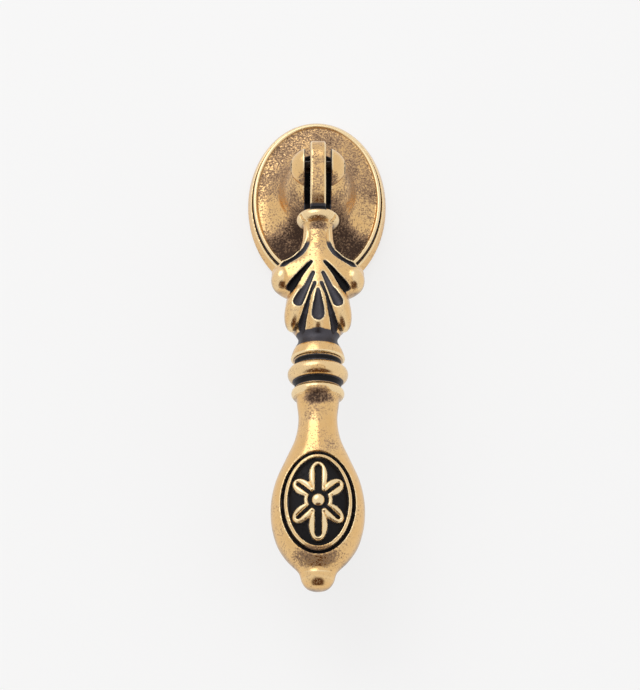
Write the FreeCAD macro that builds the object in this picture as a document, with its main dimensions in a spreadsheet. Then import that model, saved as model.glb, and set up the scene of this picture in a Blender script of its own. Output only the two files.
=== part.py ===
"""A drop pull: an oval rose with a slotted knuckle, and an ornamented drop that swings in it on a cross pin.

Millimetres. +Z is up, the back of the rose lies in the plane Y = 0 and the front faces -Y. The origin is the
mouth of the screw hole in the middle of the back.
"""
import FreeCAD, Part
import math
import os

import Sketcher
from FreeCAD import Placement, Rotation, Vector

ACROSS = Vector(1, 0, 0)
DEEP = Vector(0, 1, 0)
UPRIGHT = Vector(0, 0, 1)

# Driving sizes of the rose, its knuckle and the pin
ROSE_SIZES = {
    "plate_half_width": 14.05,
    "plate_half_height": 19.0,
    "wall_height": 2.4,
    "wall_crest": 0.25,
    "rim_side_inset": 1.6,
    "rim_end_inset": 2.3,
    "rim_rise": 1.2,
    "bead_radius": 0.4,
    "groove_width": 0.42,
    "groove_depth": 0.5,
    "dish_rise": 0.7,
    "dome_radius": 6.9,
    "ear_width": 3.0,
    "knuckle_radius": 4.2,
    "pin_standoff": 18.5,
    "pin_radius": 1.25,
    "pin_seat_gap": 0.01,
    "screw_hole_radius": 1.65,
    "screw_hole_depth": 8.5,
}

# Driving sizes of the drop: its heights follow one another down from the pin
DROP_SIZES = {
    "eye_radius": 5.15,
    "eye_thickness": 3.0,
    "eye_rounding": 0.45,
    "eye_side_gap": 1.0,
    "eye_end_gap": 0.5,
    "eye_running_gap": 0.06,
    "tongue_drop": 5.6,
    "tongue_half_depth": 4.9,
    "shank_half_depth": 2.9,
    "collar_drop": 11.4,
    "collar_radius": 4.13,
    "collar_tube": 1.3,
    "stem_height": 2.8,
    "stem_radius": 2.8,
    "fan_height": 9.2,
    "fan_half_width": 8.9,
    "fan_half_depth": 4.3,
    "fan_foot_height": 4.3,
    "cup_height": 16.8,
    "cup_half_width": 6.2,
    "cup_half_depth": 5.1,
    "cup_foot_height": 5.0,
    "leaf_neck_radius": 3.75,
    "leaf_neck_height": 0.9,
    "flare_radius": 5.2,
    "flare_height": 3.7,
    "flare_bow": 0.18,
    "ring_groove_depth": 0.8,
    "ring_groove_height": 1.35,
    "main_ring_height": 3.1,
    "main_ring_rise": 1.33,
    "low_ring_height": 1.9,
    "low_ring_rise": 0.62,
    "neck_height": 4.0,
    "neck_radius": 3.66,
    "shoulder_height": 18.3,
    "belly_half_width": 8.74,
    "belly_half_depth": 6.7,
    "foot_height": 12.05,
    "tip_radius": 3.2,
}

# Driving sizes of the medallion on the front of the vase
MEDALLION_SIZES = {
    "medallion_lift": 0.5,
    "medallion_half_width": 6.9,
    "medallion_half_height": 9.75,
    "medallion_depth": 0.75,
    "border_width": 0.62,
    "border_bead": 0.7,
    "stud_radius": 1.15,
    "long_petal_middle": 4.75,
    "long_petal_length": 2.85,
    "long_petal_width": 1.7,
    "short_petal_middle": 3.85,
    "short_petal_length": 2.05,
    "short_petal_width": 1.42,
    "short_petal_angle": 49.0,
    "petal_rim": 1.05,
    "petal_tip": 0.7,
    "heart_radius": 2.6,
    "heart_hollow": 1.95,
}

# Lobes and gouges of the leaf: where the middle lies below the stem and before the axis, half the length,
# width and depth, and for a pair how far it stands aside and tilts
LEAF_TERMS = ("drop", "front", "length", "width", "depth", "side", "tilt")
LEAF_LOBES = {
    "curl": (10.1, 0.8, 2.7, 2.05, 2.7, 6.85, 10.0),
    "lower_lobe": (16.2, 1.8, 5.1, 2.25, 3.3, 3.9, 14.0),
    "middle_lobe": (17.0, 3.0, 5.3, 2.3, 2.9),
}
LEAF_GOUGES = {
    "crown_gouge": (6.3, 2.7, 3.7, 0.75, 1.5, 4.8, 50.0),
    "fork_gouge": (10.9, 4.2, 4.5, 0.95, 2.2, 3.9, 37.5),
    "lower_gouge": (13.7, 5.2, 4.2, 1.05, 1.7, 2.6, 24.7),
    "rib_gouge": (16.8, 5.6, 5.0, 0.62, 1.8, 1.95, 16.3),
    "middle_gouge": (17.2, 6.3, 3.8, 1.35, 1.5),
}

# Share of the bead's radius that the rim under it spans to each side
RIM_COVER = 0.6
# Share of the knuckle's radius that the dome stops short of the pin
DOME_STOP = 0.8
# How deep the dome is set into the floor of the dish
DOME_SINK = 0.1
# Outline of the dish up to the dome: share of the height, and share of the way from the dome out to the rim
DISH_STATIONS = ((0.0, 1.0), (0.065, 0.62), (0.19, 0.26), (0.37, 0.06))
# Share of the dome's height, and share of its radius
DOME_STATIONS = ((0.57, 0.965), (0.77, 0.83), (0.92, 0.62), (1.0, 0.42))
# Outlines of the leaf's tiers and of the vase: shares of the way down, of the change in width and in depth
FAN_SPREAD = ((0.0, -0.012, -0.07), (0.25, 0.057, 0.167), (0.457, 0.172, 0.4), (0.61, 0.352, 0.567),
              (0.717, 0.64, 0.7), (0.804, 0.885, 0.8), (1.0, 1.0, 1.0))
FAN_CLOSE = ((0.5, 0.07, 0.0), (0.85, 0.32, 0.15), (1.0, 0.62, 0.55))
CUP_SPREAD = ((0.35, 0.1, 0.13), (0.6, 0.62, 0.66), (0.8, 0.92, 0.93), (1.0, 1.0, 1.0))
CUP_CLOSE = ((0.52, 0.2, 0.2), (0.85, 0.76, 0.74), (1.06, 1.04, 1.09))
NECK_CLOSE = ((-0.12, 0.0, 0.0), (0.35, 0.5, 0.5))
SHOULDER_SPREAD = ((0.0, 0.0, 0.0), (0.22, 0.115, 0.18), (0.44, 0.45, 0.52), (0.68, 0.82, 0.85),
                   (1.0, 1.0, 1.0))
FOOT_CLOSE = ((0.35, 0.09, 0.08), (0.62, 0.31, 0.29), (0.8, 0.6, 0.58), (0.91, 0.84, 0.83),
              (1.0, 0.965, 0.96))
# Share of the ring groove's radius that the neck of the vase starts from
NECK_TOP = 0.95
# Outline of the round tip: shares of its radius, down and across
TIP_STATIONS = ((0.16, 0.995), (0.37, 0.94), (0.6, 0.81), (0.8, 0.61), (0.93, 0.36))

document = FreeCAD.newDocument("drop_pull")
sheet = document.addObject("Spreadsheet::Sheet", "Sizes")


def fill_sheet():
    """Writes every driving size into its own named cell."""
    sizes = {**ROSE_SIZES, **DROP_SIZES, **MEDALLION_SIZES}
    for name, numbers in {**LEAF_LOBES, **LEAF_GOUGES}.items():
        for term, number in zip(LEAF_TERMS, numbers):
            sizes[f"{name}_{term}"] = number
    for row, (alias, number) in enumerate(sizes.items(), start=1):
        sheet.set(f"A{row}", alias)
        sheet.set(f"B{row}", str(number))
        sheet.setAlias(f"B{row}", alias)
    document.recompute()


def size(alias):
    """Names a cell of the sheet in an expression."""
    return f"Sizes.{alias}"


def total(*terms):
    """An expression that adds up others."""
    return f"({' + '.join(terms)})"


def between(start, end, share):
    """An expression that lies a share of the way from one expression to another."""
    return f"({start} + {share} * ({end} - {start}))"


def quarter_round(radius):
    """How far a quarter of a circle bows out from its chord."""
    return f"{1 - math.sqrt(0.5)} * {radius}"


def number_of(expression):
    """The present value of an expression."""
    return float(sheet.evalExpression(expression))


def add(kind, name, **bound):
    """Adds an object and binds its properties to expressions."""
    thing = document.addObject(kind, name)
    for path, expression in bound.items():
        thing.setExpression(path, expression)
    return thing


def move(thing, across="0", deep="0", up="0"):
    """Binds an object's place to expressions."""
    for axis, expression in (("x", across), ("y", deep), ("z", up)):
        thing.setExpression(f"Placement.Base.{axis}", expression)
    return thing


def fuse(name, things):
    """One solid out of several that overlap."""
    whole = document.addObject("Part::MultiFuse", name)
    whole.Shapes = things
    whole.Refine = False
    return whole


def cut(name, base, tool):
    """A solid less another one."""
    rest = document.addObject("Part::Cut", name)
    rest.Base = base
    rest.Tool = tool
    rest.Refine = False
    return rest


def oval(name, long_half, short_half, height="0", turn=0):
    """An ellipse that lies level at a height, with its long half turned from X."""
    ring = add("Part::Ellipse", name, MajorRadius=f"max({long_half}; {short_half})",
               MinorRadius=f"min({long_half}; {short_half})")
    ring.Placement = Placement(Vector(), Rotation(UPRIGHT, 90))
    ring.setExpression("Placement.Rotation.Angle", f"({turn}) + (({long_half}) >= ({short_half}) ? 0 : 90)")
    return move(ring, up=height)


def raised(name, outline, height, way=UPRIGHT):
    """A solid raised from a flat outline."""
    block = add("Part::Extrusion", name, LengthFwd=height)
    block.Base = outline
    block.DirMode = "Custom"
    block.Dir = way
    block.Solid = True
    return block


def loft(name, sections):
    """A smooth solid through level outlines."""
    body = document.addObject("Part::Loft", name)
    body.Sections = sections
    body.Solid = True
    return body


def draw_outline(sketch, corners):
    """Draws a closed outline. A corner is (across, along, rise), where rise is how far the way to the next
    corner bows out, and None is a straight way."""
    places = [Vector(number_of(across), number_of(along), 0) for across, along, rise in corners]
    ends = []
    for index, (across, along, rise) in enumerate(corners):
        start = places[index]
        end = places[(index + 1) % len(corners)]
        if rise is None:
            way = sketch.addGeometry(Part.LineSegment(start, end))
        else:
            chord = end - start
            outward = Vector(chord.y, -chord.x, 0).normalize()
            crest = (start + end) * 0.5 + outward * number_of(rise)
            way = sketch.addGeometry(Part.Arc(start, crest, end))
        first = 1 if sketch.getPoint(way, 1).distanceToPoint(start) < 1e-6 else 2
        ends.append((way, first, 3 - first))
    for index, (across, along, rise) in enumerate(corners):
        way, first, last = ends[index]
        next_way, next_first, next_last = ends[(index + 1) % len(corners)]
        sketch.addConstraint(Sketcher.Constraint("Coincident", way, last, next_way, next_first))
        if across == "0":
            sketch.addConstraint(Sketcher.Constraint("PointOnObject", way, first, -2))
        else:
            bind_constraint(sketch, ("DistanceX", -1, 1, way, first), across)
        bind_constraint(sketch, ("DistanceY", -1, 1, way, first), along)
        if rise is not None:
            next_across, next_along, next_rise = corners[(index + 1) % len(corners)]
            half_chord = f"((({next_across}) - ({across}))^2 + (({next_along}) - ({along}))^2) / 4"
            bind_constraint(sketch, ("Radius", way), f"({half_chord} + ({rise})^2) / (2 * abs({rise}))")


def bind_constraint(sketch, terms, expression):
    """Adds a dimension to a sketch and binds it to an expression."""
    index = sketch.addConstraint(Sketcher.Constraint(*terms, number_of(expression)))
    sketch.setExpression(f"Constraints[{index}]", expression)


def turned(name, corners, outline_turn, axis):
    """A solid turned about an axis from an outline."""
    sketch = document.addObject("Sketcher::SketchObject", f"{name}_outline")
    sketch.Placement = Placement(Vector(), outline_turn)
    draw_outline(sketch, corners)
    body = document.addObject("Part::Revolution", name)
    body.Source = sketch
    body.Axis = axis
    body.Angle = 360
    body.Solid = True
    return body


# Sizes of the rose that follow from the driving ones
SLOT_WIDTH = f"({size('eye_thickness')} + 2 * {size('eye_side_gap')})"
KNUCKLE_HALF = f"({SLOT_WIDTH} / 2 + {size('ear_width')})"
PAST_KNUCKLE = total(KNUCKLE_HALF, size("ear_width"))
TONGUE_REACH = f"sqrt({size('tongue_drop')}^2 + {size('tongue_half_depth')}^2)"
SLOT_REACH = f"(max({size('eye_radius')}; {TONGUE_REACH}) + {size('eye_end_gap')})"
RIM_HALF_WIDTH = f"({size('plate_half_width')} - {size('rim_side_inset')})"
RIM_HALF_HEIGHT = f"({size('plate_half_height')} - {size('rim_end_inset')})"
RIM_CREST = total(size("wall_height"), size("rim_rise"))
DISH_FLOOR = total(size("wall_height"), size("dish_rise"))

# Levels of the drop below the pin
STEM_DROP = total(size("collar_drop"), size("stem_height"))
FAN_DROP = total(STEM_DROP, size("fan_height"))
CUP_DROP = total(STEM_DROP, size("cup_height"))
LEAF_NECK_DROP = total(CUP_DROP, size("cup_foot_height"))
FLARE_TOP = total(LEAF_NECK_DROP, size("leaf_neck_height"))
FLARE_EDGE = total(FLARE_TOP, size("flare_height"))
MAIN_RING_TOP = total(FLARE_EDGE, size("ring_groove_height"))
MAIN_RING_BOTTOM = total(MAIN_RING_TOP, size("main_ring_height"))
LOW_RING_TOP = total(MAIN_RING_BOTTOM, size("ring_groove_height"))
LOW_RING_BOTTOM = total(LOW_RING_TOP, size("low_ring_height"))
NECK_DROP = total(LOW_RING_BOTTOM, size("neck_height"))
BELLY_DROP = total(NECK_DROP, size("shoulder_height"))
TIP_DROP = total(BELLY_DROP, size("foot_height"))
RING_FLOOR = f"({size('flare_radius')} - {size('ring_groove_depth')})"


def knuckle_form(name):
    """The egg-shaped knuckle, long across and round about the pin."""
    form = add("Part::Ellipsoid", name, Radius1=size("knuckle_radius"), Radius2=KNUCKLE_HALF,
               Radius3=size("knuckle_radius"))
    return move(form, up=size("pin_standoff"))


def cross_rod(name, radius, half_length):
    """A round rod along the pin's axis."""
    rod = add("Part::Cylinder", name, Radius=radius, Height=f"2 * {half_length}")
    rod.Placement = Placement(Vector(), Rotation(DEEP, 90))
    return move(rod, across=f"-{half_length}", up=size("pin_standoff"))


def rim_oval(name, outset, height):
    """An oval that follows the rim at a distance outside it."""
    return oval(name, f"{RIM_HALF_HEIGHT} + {outset}", f"{RIM_HALF_WIDTH} + {outset}", height, 90)


def rim_bead(height):
    """The round bead that runs along the rim."""
    section = add("Part::Circle", "bead_section", Radius=size("bead_radius"))
    section.Placement = Placement(Vector(), Rotation(ACROSS, 90))
    move(section, across=RIM_HALF_WIDTH, up=height)
    bead = document.addObject("Part::Sweep", "bead")
    bead.Sections = [section]
    bead.Spine = (rim_oval("bead_path", "0", height), ["Edge1"])
    bead.Solid = True
    bead.Frenet = True
    return bead


def rose_plate():
    """The oval plate: leaning wall, groove, rim bead and dish floor."""
    rim_cover = f"{RIM_COVER} * {size('bead_radius')}"
    groove_reach = f"({rim_cover} + {size('groove_width')})"
    groove_edge = rim_oval("groove_edge", groove_reach, f"({size('wall_height')} - {size('groove_depth')})")
    wall_foot = oval("wall_foot", size("plate_half_height"), size("plate_half_width"), "0", 90)
    wall_top = rim_oval("wall_top", f"({groove_reach} + {size('wall_crest')})", size("wall_height"))
    wall_form = loft("wall_form", [wall_foot, wall_top])
    wall = cut("wall", wall_form, raised("wall_space", groove_edge, size("wall_height")))
    bead_middle = f"({RIM_CREST} - {size('bead_radius')})"
    rim_form = raised("rim_form", rim_oval("rim_foot", rim_cover, "0"), bead_middle)
    dish_mouth = rim_oval("dish_mouth", f"-1 * {rim_cover}", DISH_FLOOR)
    rim = cut("rim", rim_form, raised("dish_space", dish_mouth, RIM_CREST))
    return fuse("plate", [wall, rim, rim_bead(bead_middle)])


def rose_dome():
    """The dish that sweeps up to a dome under the knuckle."""
    foot = f"({DISH_FLOOR} - {DOME_SINK})"
    top = f"({size('pin_standoff')} - {DOME_STOP} * {size('knuckle_radius')})"
    dome = size("dome_radius")
    sections = []
    for height_share, rim_share in DISH_STATIONS:
        sections.append(oval(f"dish_{len(sections)}",
                             between(dome, f"({RIM_HALF_HEIGHT} - {size('bead_radius')})", rim_share),
                             between(dome, f"({RIM_HALF_WIDTH} - {size('bead_radius')})", rim_share),
                             between(foot, top, height_share), 90))
    for height_share, radius_share in DOME_STATIONS:
        radius = f"{radius_share} * {dome}"
        sections.append(oval(f"dome_{len(sections)}", radius, radius, between(foot, top, height_share), 90))
    return loft("dome", sections)


def eye_slot():
    """The room that the eye turns in, open to the front, above and below."""
    round_end = cross_rod("slot_end", SLOT_REACH, f"({SLOT_WIDTH} / 2)")
    reach = size("plate_half_height")
    mouth = add("Part::Box", "slot_mouth", Length=SLOT_WIDTH, Width=f"2 * {reach}", Height=reach)
    move(mouth, across=f"-{SLOT_WIDTH} / 2", deep=f"-{reach}", up=size("pin_standoff"))
    return fuse("eye_slot", [round_end, mouth])


def backplate():
    """The rose, cast in one with its knuckle, drilled for the pin and tapped for the screw."""
    casting = fuse("casting", [rose_plate(), rose_dome(), knuckle_form("knuckle")])
    pin_hole = cross_rod("pin_hole", total(size("pin_radius"), size("pin_seat_gap")), PAST_KNUCKLE)
    screw_hole = add("Part::Cylinder", "screw_hole", Radius=size("screw_hole_radius"),
                     Height=size("screw_hole_depth"))
    rose = cut("rose", casting, fuse("rose_holes", [eye_slot(), pin_hole, screw_hole]))
    rose.Placement = Placement(Vector(), Rotation(ACROSS, 90))
    return rose


def hinge_pin():
    """The cross pin, dressed flush with the knuckle at both ends."""
    pin = document.addObject("Part::Common", "pin")
    pin.Base = cross_rod("pin_rod", size("pin_radius"), PAST_KNUCKLE)
    pin.Tool = knuckle_form("pin_ends")
    pin.Placement = Placement(Vector(), Rotation(ACROSS, 90))
    return pin


def eye():
    """The thin round eye with its bore and rounded edges."""
    bore = f"({size('pin_radius')} + {size('eye_running_gap')})"
    rim = size("eye_radius")
    face = f"({rim} - {size('eye_rounding')})"
    width = size("eye_thickness")
    soften = size("eye_rounding")
    edge = quarter_round(soften)
    corners = ((bore, "0", None), (face, "0", edge), (rim, soften, None),
               (rim, f"{width} - {soften}", edge), (face, width, None), (bore, width, None))
    disc = turned("eye", corners, Rotation(UPRIGHT, -90), ACROSS)
    return move(disc, across=f"-{width} / 2")


def flat_bar(name, half_depth, foot_drop):
    """A flat bar as thick as the eye, from under its bore down to a drop."""
    top_drop = total(size("pin_radius"), f"2 * {size('eye_running_gap')}")
    block = add("Part::Box", name, Length=size("eye_thickness"), Width=f"2 * {half_depth}",
                Height=f"{foot_drop} - {top_drop}")
    return move(block, f"-{size('eye_thickness')} / 2", f"-{half_depth}", f"-{foot_drop}")


def tongue():
    """The straight tongue below the eye with its round lower end, and the shank from it into the collar."""
    bar = flat_bar("tongue", size("tongue_half_depth"), size("tongue_drop"))
    round_end = add("Part::Cylinder", "tongue_end", Radius=size("tongue_half_depth"), Height=size("eye_thickness"))
    round_end.Angle = 180
    round_end.Placement = Placement(Vector(), Rotation(DEEP, 90) * Rotation(UPRIGHT, -90))
    move(round_end, across=f"-{size('eye_thickness')} / 2", up=f"-{size('tongue_drop')}")
    return [bar, round_end, flat_bar("shank", size("shank_half_depth"), size("collar_drop"))]


def turned_core():
    """The turned forms: collar, stem of the leaf, flare and rings."""
    tube = size("collar_tube")
    collar_middle = f"({size('collar_radius')} - {tube})"
    collar_top = f"({size('collar_drop')} - {tube})"
    collar_foot = f"({size('collar_drop')} + {tube})"
    corners = (
        ("0", collar_top, None),
        (collar_middle, collar_top, quarter_round(tube)),
        (size("collar_radius"), size("collar_drop"), quarter_round(tube)),
        (collar_middle, collar_foot, None),
        (size("stem_radius"), STEM_DROP, None),
        (size("leaf_neck_radius"), LEAF_NECK_DROP, None),
        (size("leaf_neck_radius"), FLARE_TOP, size("flare_bow")),
        (size("flare_radius"), FLARE_EDGE, None),
        (RING_FLOOR, FLARE_EDGE, None),
        (RING_FLOOR, MAIN_RING_TOP, size("main_ring_rise")),
        (RING_FLOOR, MAIN_RING_BOTTOM, None),
        (RING_FLOOR, LOW_RING_TOP, size("low_ring_rise")),
        (RING_FLOOR, LOW_RING_BOTTOM, None),
        ("0", LOW_RING_BOTTOM, None),
    )
    return turned("turned_core", corners, Rotation(ACROSS, -90), UPRIGHT)


def stations(start, end, shares):
    """Levels on the way from one (drop, half width, half depth) to another, at given shares of each."""
    return [tuple(map(between, start, end, row)) for row in shares]


def level_loft(name, levels, inset="0"):
    """A smooth solid through level ovals at (drop, half width, half depth), each set in by a depth."""
    sections = []
    for drop, half_width, half_depth in levels:
        sections.append(oval(f"{name}_{len(sections)}", f"{half_width} - {inset}", f"{half_depth} - {inset}",
                             f"-1 * {drop}"))
    return loft(name, sections)


def leaf_tiers():
    """The two tiers of the leaf before carving: a wide fan, and the cup under it."""
    stem = (STEM_DROP, size("stem_radius"), size("stem_radius"))
    fan = (FAN_DROP, size("fan_half_width"), size("fan_half_depth"))
    fan_foot = (total(FAN_DROP, size("fan_foot_height")), size("stem_radius"), size("stem_radius"))
    cup = (CUP_DROP, size("cup_half_width"), size("cup_half_depth"))
    neck = (LEAF_NECK_DROP, size("leaf_neck_radius"), size("leaf_neck_radius"))
    fan_levels = stations(stem, fan, FAN_SPREAD) + stations(fan, fan_foot, FAN_CLOSE)
    cup_levels = stations(stem, cup, CUP_SPREAD) + stations(cup, neck, CUP_CLOSE)
    return [level_loft("fan", fan_levels), level_loft("cup", cup_levels)]


def vase(name, inset):
    """The flattened vase from under the rings to the round tip, or the same form set in by a depth."""
    neck_top = f"({NECK_TOP} * {RING_FLOOR})"
    ring = (LOW_RING_BOTTOM, neck_top, neck_top)
    neck = (NECK_DROP, size("neck_radius"), size("neck_radius"))
    belly = (BELLY_DROP, size("belly_half_width"), size("belly_half_depth"))
    tip = (TIP_DROP, size("tip_radius"), size("tip_radius"))
    levels = stations(ring, neck, NECK_CLOSE) + stations(neck, belly, SHOULDER_SPREAD)
    levels += stations(belly, tip, FOOT_CLOSE)
    for down_share, across_share in TIP_STATIONS:
        radius = f"{across_share} * {size('tip_radius')}"
        levels.append((f"({TIP_DROP} + {down_share} * {size('tip_radius')})", radius, radius))
    return level_loft(name, levels, inset)


def leaf_forms(names):
    """Egg-shaped lobes or gouges of the leaf: mirrored pairs, and single ones in the middle."""
    forms = []
    for name, numbers in names.items():
        paired = len(numbers) == len(LEAF_TERMS)
        for side in (1, -1) if paired else (0,):
            form = add("Part::Ellipsoid", f"{name}_{len(forms)}", Radius1=size(f"{name}_length"),
                       Radius2=size(f"{name}_width"), Radius3=size(f"{name}_depth"))
            across = "0"
            if paired:
                form.Placement = Placement(Vector(), Rotation(DEEP * -side, 1))
                form.setExpression("Placement.Rotation.Angle", size(f"{name}_tilt"))
                across = f"{side} * {size(f'{name}_side')}"
            move(form, across, f"-{size(f'{name}_front')}", f"-({STEM_DROP} + {size(f'{name}_drop')})")
            forms.append(form)
    return forms


def petal(name, kind, angle):
    """An oval block that points away from the stud at an angle from upright."""
    outline = oval(name, size(f"{kind}_length"), size(f"{kind}_width"), turn=f"90 - ({angle})")
    middle = size(f"{kind}_middle")
    move(outline, f"{middle} * sin(({angle}) * 1 deg)", f"{middle} * cos(({angle}) * 1 deg)")
    return raised(f"{name}_block", outline, size("belly_half_width"))


def petal_hollow(name, kind, angle):
    """A slot from the stud out along a petal, round at its end."""
    half = f"({size(f'{kind}_width')} - {size('petal_rim')})"
    tip = total(size(f"{kind}_middle"), size(f"{kind}_length"))
    reach = f"({tip} - {size('petal_tip')} - {half})"
    sine = f"sin(({angle}) * 1 deg)"
    cosine = f"cos(({angle}) * 1 deg)"
    run = add("Part::Box", f"{name}_run", Length=f"2 * {half}", Width=reach, Height=size("belly_half_width"))
    run.Placement = Placement(Vector(), Rotation(UPRIGHT, 90))
    run.setExpression("Placement.Rotation.Angle", f"360 - ({angle})")
    move(run, f"-1 * {half} * {cosine}", f"{half} * {sine}")
    end = add("Part::Cylinder", f"{name}_end", Radius=half, Height=size("belly_half_width"))
    move(end, f"{reach} * {sine}", f"{reach} * {cosine}")
    return [run, end]


def flower():
    """Six petals round a stud, with hollows that open into the heart."""
    height = size("belly_half_width")
    short = size("short_petal_angle")
    directions = (("long_petal", "0"), ("short_petal", short), ("short_petal", f"180 - {short}"),
                  ("long_petal", "180"), ("short_petal", f"180 + {short}"), ("short_petal", f"360 - {short}"))
    petals = [add("Part::Cylinder", "heart", Radius=size("heart_radius"), Height=height)]
    hollows = [add("Part::Cylinder", "heart_hollow", Radius=size("heart_hollow"), Height=height)]
    for number, (kind, angle) in enumerate(directions):
        petals.append(petal(f"petal_{number}", kind, angle))
        hollows += petal_hollow(f"petal_hollow_{number}", kind, angle)
    hollow_petals = cut("hollow_petals", fuse("petals", petals), fuse("petal_hollows", hollows))
    stud = add("Part::Cylinder", "stud", Radius=size("stud_radius"), Height=height)
    return fuse("flower", [hollow_petals, stud])


def medallion_space():
    """What is sunk below the front of the vase: the border groove, and the field round the flower."""
    height = size("belly_half_width")
    ovals = []
    for name, inset in (("groove_out", "0"), ("groove_in", size("border_width")),
                        ("field", f"({size('border_width')} + {size('border_bead')})")):
        outline = oval(f"medallion_{name}", f"{size('medallion_half_height')} - {inset}",
                       f"{size('medallion_half_width')} - {inset}", turn=90)
        ovals.append(raised(f"medallion_{name}_block", outline, height))
    groove = cut("border_groove", ovals[0], ovals[1])
    field = cut("medallion_field", ovals[2], flower())
    pattern = fuse("medallion_pattern", [groove, field])
    pattern.Placement = Placement(Vector(), Rotation(ACROSS, 90))
    move(pattern, up=f"{size('medallion_lift')} - {BELLY_DROP}")
    return cut("medallion_space", pattern, vase("medallion_floor", size("medallion_depth")))


def pendant():
    """The drop, cast in one."""
    forms = [eye(), turned_core(), vase("vase", "0")] + tongue() + leaf_tiers() + leaf_forms(LEAF_LOBES)
    solid = fuse("drop_solid", forms)
    drop = cut("drop", solid, fuse("drop_spaces", leaf_forms(LEAF_GOUGES) + [medallion_space()]))
    return move(drop, deep=f"-{size('pin_standoff')}")


def write_parts(pieces):
    """Checks the whole document and writes each piece to its own file."""
    document.recompute()
    failed = [thing.Name for thing in document.Objects if {"Invalid", "Error"} & set(thing.State)]
    if failed:
        raise RuntimeError(f"not built: {failed}")
    os.makedirs("parts", exist_ok=True)
    for label, piece in pieces.items():
        piece.Label = label
        if piece.Shape.isNull() or not piece.Shape.isValid() or len(piece.Shape.Solids) != 1:
            raise RuntimeError(f"{label} is not one sound solid")
    for label, piece in pieces.items():
        piece.Shape.exportStep(f"parts/{label}.step")


fill_sheet()
write_parts({"backplate": backplate(), "pendant": pendant(), "hinge_pin": hinge_pin()})
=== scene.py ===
"""Looks of a drop pull in antiqued brass: a carved drop that swings on an oval rose."""
import math

import bpy
import numpy as np
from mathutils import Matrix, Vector


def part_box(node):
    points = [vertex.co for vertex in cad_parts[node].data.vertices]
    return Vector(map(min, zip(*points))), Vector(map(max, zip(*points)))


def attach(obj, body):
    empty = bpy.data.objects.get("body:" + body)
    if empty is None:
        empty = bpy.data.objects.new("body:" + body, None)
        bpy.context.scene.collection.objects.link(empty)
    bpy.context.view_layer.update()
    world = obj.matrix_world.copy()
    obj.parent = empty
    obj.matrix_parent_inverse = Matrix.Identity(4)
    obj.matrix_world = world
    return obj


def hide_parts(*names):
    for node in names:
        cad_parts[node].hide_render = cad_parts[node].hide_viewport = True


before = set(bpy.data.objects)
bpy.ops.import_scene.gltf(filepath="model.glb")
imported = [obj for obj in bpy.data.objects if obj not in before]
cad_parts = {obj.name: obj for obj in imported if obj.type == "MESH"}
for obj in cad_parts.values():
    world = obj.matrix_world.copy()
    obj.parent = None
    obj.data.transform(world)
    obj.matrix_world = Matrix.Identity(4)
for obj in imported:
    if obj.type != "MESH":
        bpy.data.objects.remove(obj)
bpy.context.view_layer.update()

MM = 0.001

# Sizes in millimetres; the solids have the same ones, apart from the thread and the leaf's lip
PIN_STANDOFF = 18.5
EYE_BORE = 1.31
SLOT_HALF = 2.5
SLOT_REACH = 7.94
SLOT_HALF_LENGTH = 30
PIN_HOLE_RADIUS = 1.26
KNUCKLE = (5.5, 4.2, 4.2)
SCREW_HOLE_DEPTH = 8.5
THREAD_ROOT = 2.0
THREAD_PITCH = 0.7
THREAD_START = 0.4
THREAD_TURNS = 11
STEPS_IN_TURN = 40
# Section of the thread's ridge: radius and distance along the hole
THREAD_SECTION = ((2.05, -0.3), (1.66, -0.06), (1.66, 0.06), (2.05, 0.3))

PLATE_HALF = (14.05, 19.0)
WALL_HEIGHT = 2.4
RIM_HALF = (12.45, 16.7)
BEAD_RADIUS = 0.4
BEAD_HEIGHT = 3.2
RIM_COVER = 0.24
GROOVE_EDGE = 0.66
WALL_CREST = 0.25
GROOVE_FLOOR = 1.9
DISH_FLOOR = 3.1
DOME_FOOT = DISH_FLOOR - 0.1
DOME_TOP = 15.14
DOME_RADIUS = 6.9
# Shares of the dome's height, with the share of the way out to the rim in the dish and of the radius above it
DISH_STATIONS = ((0.0, 1.0), (0.065, 0.62), (0.19, 0.26), (0.37, 0.06))
DOME_STATIONS = ((0.57, 0.965), (0.77, 0.83), (0.92, 0.62), (1.0, 0.42))

EYE_RADIUS = 5.15
EYE_HALF_THICKNESS = 1.5
EYE_ROUNDING = 0.45
TONGUE_DROP = 5.6
TONGUE_HALF_DEPTH = 4.9
SHANK_HALF_DEPTH = 2.9
COLLAR_DROP = 11.4
COLLAR_MIDDLE = 2.83
COLLAR_TUBE = 1.3
RING_FLOOR = 4.4
RING_FLOOR_SPAN = (40.0, 48.3)
# Rings below the leaf: drop, radius of the middle line, and radius of the round
RINGS = ((43.5, 4.162, 1.568), (47.35, 3.982, 1.038))
# Turned core: drop and radius
CORE = ((11.4, 2.83), (12.7, 2.83), (14.2, 2.8), (36.0, 3.75), (36.9, 3.75), (38.68, 4.64), (40.2, 5.12),
        (40.6, 5.2))

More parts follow.
